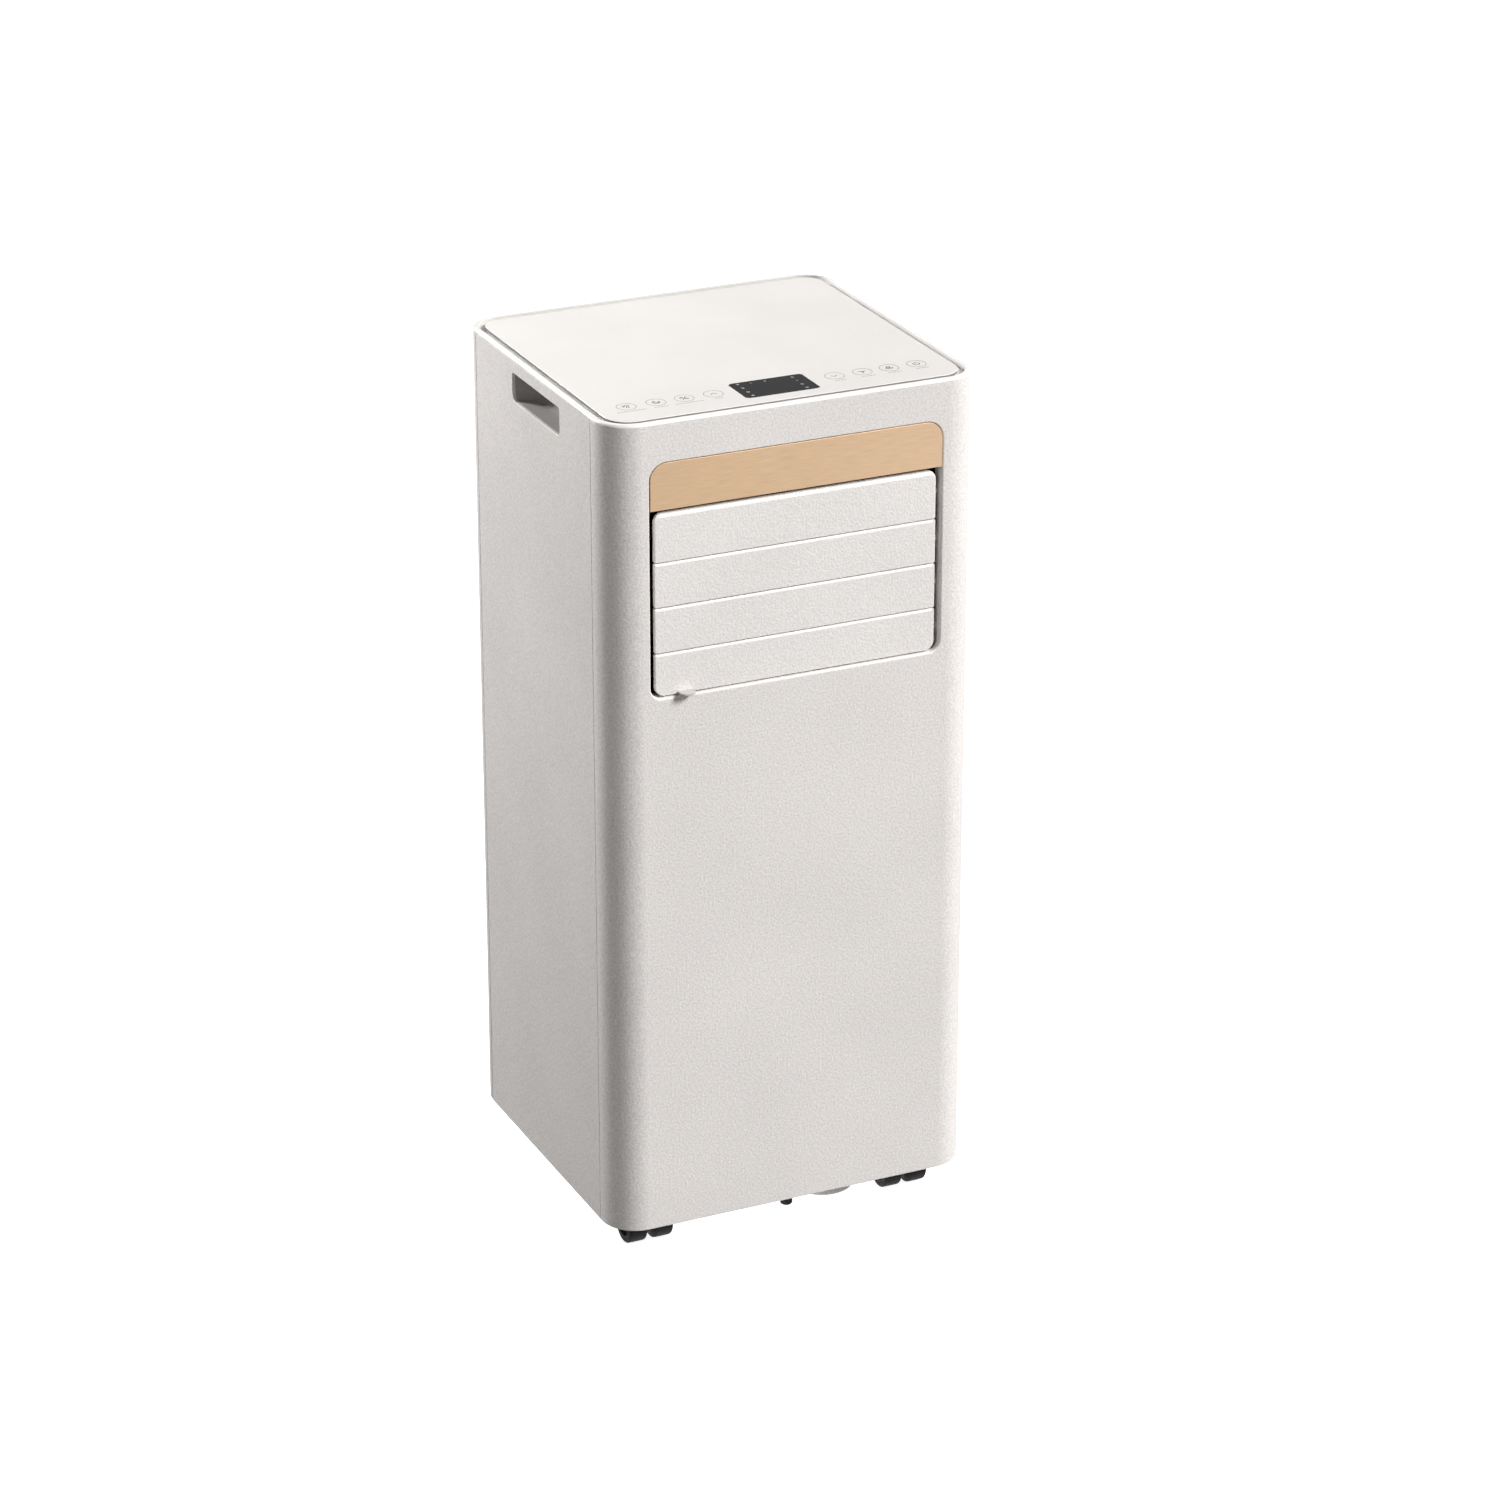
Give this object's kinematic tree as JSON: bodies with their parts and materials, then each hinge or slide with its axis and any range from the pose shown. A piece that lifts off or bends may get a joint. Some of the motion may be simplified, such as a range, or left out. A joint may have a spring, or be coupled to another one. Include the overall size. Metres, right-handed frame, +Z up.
{
  "type": "portable air conditioner",
  "caption": "Upright portable air conditioner: rounded cabinet with tilting front louvres, gloss top control plate, rear intake grilles and exhaust collar, on swivel casters.",
  "frame": {"origin": "on the floor, under the middle of the whole unit", "axes": "+Z up, -Y the louvred front, +Y the exhaust port, +X right for someone facing the louvres"},
  "size_m": [0.305, 0.296, 0.69],
  "materials": {
    "casing_plastic": "fine-grained warm light grey",
    "blade_plastic": "fine-grained warm light grey",
    "rim_plastic": "smooth semi-gloss",
    "control_plate": "smooth gloss",
    "display_lens": "dark gloss",
    "accent_trim": "brushed champagne gold",
    "duct_plastic": "dark grey",
    "dark_plastic": "black satin",
    "wheel_plastic": "black satin",
    "stopper_rubber": "matt black",
    "inner_plastic": "plain moulded",
    "coil_aluminium": "bare fins",
    "motor_steel": "zinc plated",
    "shell_paint": "black paint",
    "pipe_copper": "bare copper",
    "circuit_board": "green solder resist",
    "filter_mesh": "fine dark mesh in a moulded frame"
  },
  "bodies": {
    "casing": {"front_cover": "casing_plastic", "left_side_panel": "casing_plastic", "right_side_panel": "casing_plastic", "rear_cover": "casing_plastic", "left_finger_pocket": "casing_plastic", "right_finger_pocket": "casing_plastic", "exhaust_collar": "casing_plastic", "base_pan": "casing_plastic", "top_rim": "rim_plastic", "top_plate": "control_plate", "display_window": "display_lens", "accent_panel": "accent_trim", "outlet_duct": "duct_plastic", "cable_gland": "dark_plastic", "evaporator_blower_housing": "inner_plastic", "condenser_blower_housing": "inner_plastic", "drip_tray": "inner_plastic", "exhaust_duct": "inner_plastic", "electrical_box": "inner_plastic", "evaporator": "coil_aluminium", "condenser": "coil_aluminium", "swing_motor": "motor_steel", "evaporator_fan_motor": "motor_steel", "condenser_fan_motor": "motor_steel", "deck": "motor_steel", "compressor": "shell_paint", "accumulator": "shell_paint", "suction_pipe": "pipe_copper", "liquid_line": "pipe_copper", "discharge_pipe": "pipe_copper", "compressor_inlet_pipe": "pipe_copper", "control_board": "circuit_board"},
    "louver_blade_1": {"louver_blade_1": "blade_plastic"},
    "louver_blade_2": {"louver_blade_2": "blade_plastic"},
    "louver_blade_3": {"louver_blade_3": "blade_plastic"},
    "louver_blade_4": {"louver_blade_4": "blade_plastic"},
    "louver_link": {"louver_link": "dark_plastic"},
    "vane_1": {"vane_1": "duct_plastic"},
    "vane_2": {"vane_2": "duct_plastic"},
    "vane_3": {"vane_3": "duct_plastic"},
    "vane_4": {"vane_4": "duct_plastic"},
    "vane_5": {"vane_5": "duct_plastic"},
    "vane_link": {"vane_link": "dark_plastic"},
    "evaporator_fan": {"evaporator_fan": "dark_plastic"},
    "condenser_fan": {"condenser_fan": "dark_plastic"},
    "upper_intake": {"upper_intake_grille": "casing_plastic", "upper_filter": "filter_mesh"},
    "lower_intake": {"lower_intake_grille": "casing_plastic", "lower_filter": "filter_mesh"},
    "drain_plug": {"drain_plug": "stopper_rubber"},
    "drain_cap": {"drain_cap": "stopper_rubber"},
    "caster_front_left": {"caster_frame_front_left": "dark_plastic"},
    "wheels_front_left": {"caster_wheels_front_left": "wheel_plastic"},
    "caster_front_right": {"caster_frame_front_right": "dark_plastic"},
    "wheels_front_right": {"caster_wheels_front_right": "wheel_plastic"},
    "caster_rear_left": {"caster_frame_rear_left": "dark_plastic"},
    "wheels_rear_left": {"caster_wheels_rear_left": "wheel_plastic"},
    "caster_rear_right": {"caster_frame_rear_right": "dark_plastic"},
    "wheels_rear_right": {"caster_wheels_rear_right": "wheel_plastic"}
  },
  "joints": [
    {"name": "louver_tilt", "type": "hinge", "parent": "casing", "child": "louver_blade_4", "pos_m": [0, -0.131, 0.49085], "axis": [-1, 0, 0], "range_deg": [0, 75]},
    {"name": "louver_1_tilt", "type": "hinge", "parent": "casing", "child": "louver_blade_1", "pos_m": [0, -0.131, 0.59925], "axis": [-1, 0, 0], "range_deg": [0, 75]},
    {"name": "louver_2_tilt", "type": "hinge", "parent": "casing", "child": "louver_blade_2", "pos_m": [0, -0.131, 0.5618], "axis": [-1, 0, 0], "range_deg": [0, 75]},
    {"name": "louver_3_tilt", "type": "hinge", "parent": "casing", "child": "louver_blade_3", "pos_m": [0, -0.131, 0.52605], "axis": [-1, 0, 0], "range_deg": [0, 75]},
    {"name": "louver_link_pivot", "type": "hinge", "parent": "louver_blade_4", "child": "louver_link", "pos_m": [-0.1172, -0.123, 0.49685], "axis": [-1, 0, 0], "range_deg": [-75, 0]},
    {"name": "vane_swing", "type": "hinge", "parent": "casing", "child": "vane_1", "pos_m": [-0.084, -0.09, 0.551], "axis": [0, 0, 1], "range_deg": [-35, 35]},
    {"name": "vane_2_swing", "type": "hinge", "parent": "casing", "child": "vane_2", "pos_m": [-0.042, -0.09, 0.551], "axis": [0, 0, 1], "range_deg": [-35, 35]},
    {"name": "vane_3_swing", "type": "hinge", "parent": "casing", "child": "vane_3", "pos_m": [0, -0.09, 0.551], "axis": [0, 0, 1], "range_deg": [-35, 35]},
    {"name": "vane_4_swing", "type": "hinge", "parent": "casing", "child": "vane_4", "pos_m": [0.042, -0.09, 0.551], "axis": [0, 0, 1], "range_deg": [-35, 35]},
    {"name": "vane_5_swing", "type": "hinge", "parent": "casing", "child": "vane_5", "pos_m": [0.084, -0.09, 0.551], "axis": [0, 0, 1], "range_deg": [-35, 35]},
    {"name": "vane_link_pivot", "type": "hinge", "parent": "vane_1", "child": "vane_link", "pos_m": [-0.084, -0.078, 0.4799], "axis": [0, 0, 1], "range_deg": [-35, 35]},
    {"name": "evaporator_fan_spin", "type": "hinge", "parent": "casing", "child": "evaporator_fan", "pos_m": [-0.01, -0.027, 0.372], "axis": [0, 1, 0], "continuous": true},
    {"name": "condenser_fan_spin", "type": "hinge", "parent": "casing", "child": "condenser_fan", "pos_m": [-0.03, 0.061, 0.15], "axis": [0, 1, 0], "continuous": true},
    {"name": "upper_intake_pull", "type": "slide", "parent": "casing", "child": "upper_intake", "axis": [0, 1, 0], "range_m": [0, 0.05]},
    {"name": "lower_intake_pull", "type": "slide", "parent": "casing", "child": "lower_intake", "axis": [0, 1, 0], "range_m": [0, 0.05]},
    {"name": "drain_plug_pull", "type": "slide", "parent": "casing", "child": "drain_plug", "axis": [0, 0, -1], "range_m": [0, 0.012]},
    {"name": "drain_cap_pull", "type": "slide", "parent": "casing", "child": "drain_cap", "axis": [0, 1, 0], "range_m": [0, 0.02]},
    {"name": "swivel_front_left", "type": "hinge", "parent": "casing", "child": "caster_front_left", "pos_m": [-0.111, -0.109, 0.035], "axis": [0, 0, 1], "continuous": true},
    {"name": "roll_front_left", "type": "hinge", "parent": "caster_front_left", "child": "wheels_front_left", "pos_m": [-0.111, -0.099, 0.0155], "axis": [1, 0, 0], "continuous": true},
    {"name": "swivel_front_right", "type": "hinge", "parent": "casing", "child": "caster_front_right", "pos_m": [0.111, -0.109, 0.035], "axis": [0, 0, 1], "continuous": true},
    {"name": "roll_front_right", "type": "hinge", "parent": "caster_front_right", "child": "wheels_front_right", "pos_m": [0.111, -0.099, 0.0155], "axis": [1, 0, 0], "continuous": true},
    {"name": "swivel_rear_left", "type": "hinge", "parent": "casing", "child": "caster_rear_left", "pos_m": [-0.111, 0.1, 0.035], "axis": [0, 0, 1], "continuous": true},
    {"name": "roll_rear_left", "type": "hinge", "parent": "caster_rear_left", "child": "wheels_rear_left", "pos_m": [-0.111, 0.11, 0.0155], "axis": [1, 0, 0], "continuous": true},
    {"name": "swivel_rear_right", "type": "hinge", "parent": "casing", "child": "caster_rear_right", "pos_m": [0.111, 0.1, 0.035], "axis": [0, 0, 1], "continuous": true},
    {"name": "roll_rear_right", "type": "hinge", "parent": "caster_rear_right", "child": "wheels_rear_right", "pos_m": [0.111, 0.11, 0.0155], "axis": [1, 0, 0], "continuous": true}
  ],
  "couplings": [
    {"joint": "louver_1_tilt", "follows": "louver_tilt", "ratio": 1},
    {"joint": "louver_2_tilt", "follows": "louver_tilt", "ratio": 1},
    {"joint": "louver_3_tilt", "follows": "louver_tilt", "ratio": 1},
    {"joint": "louver_link_pivot", "follows": "louver_tilt", "ratio": -1},
    {"joint": "vane_2_swing", "follows": "vane_swing", "ratio": 1},
    {"joint": "vane_3_swing", "follows": "vane_swing", "ratio": 1},
    {"joint": "vane_4_swing", "follows": "vane_swing", "ratio": 1},
    {"joint": "vane_5_swing", "follows": "vane_swing", "ratio": 1},
    {"joint": "vane_link_pivot", "follows": "vane_swing", "ratio": -1}
  ]
}
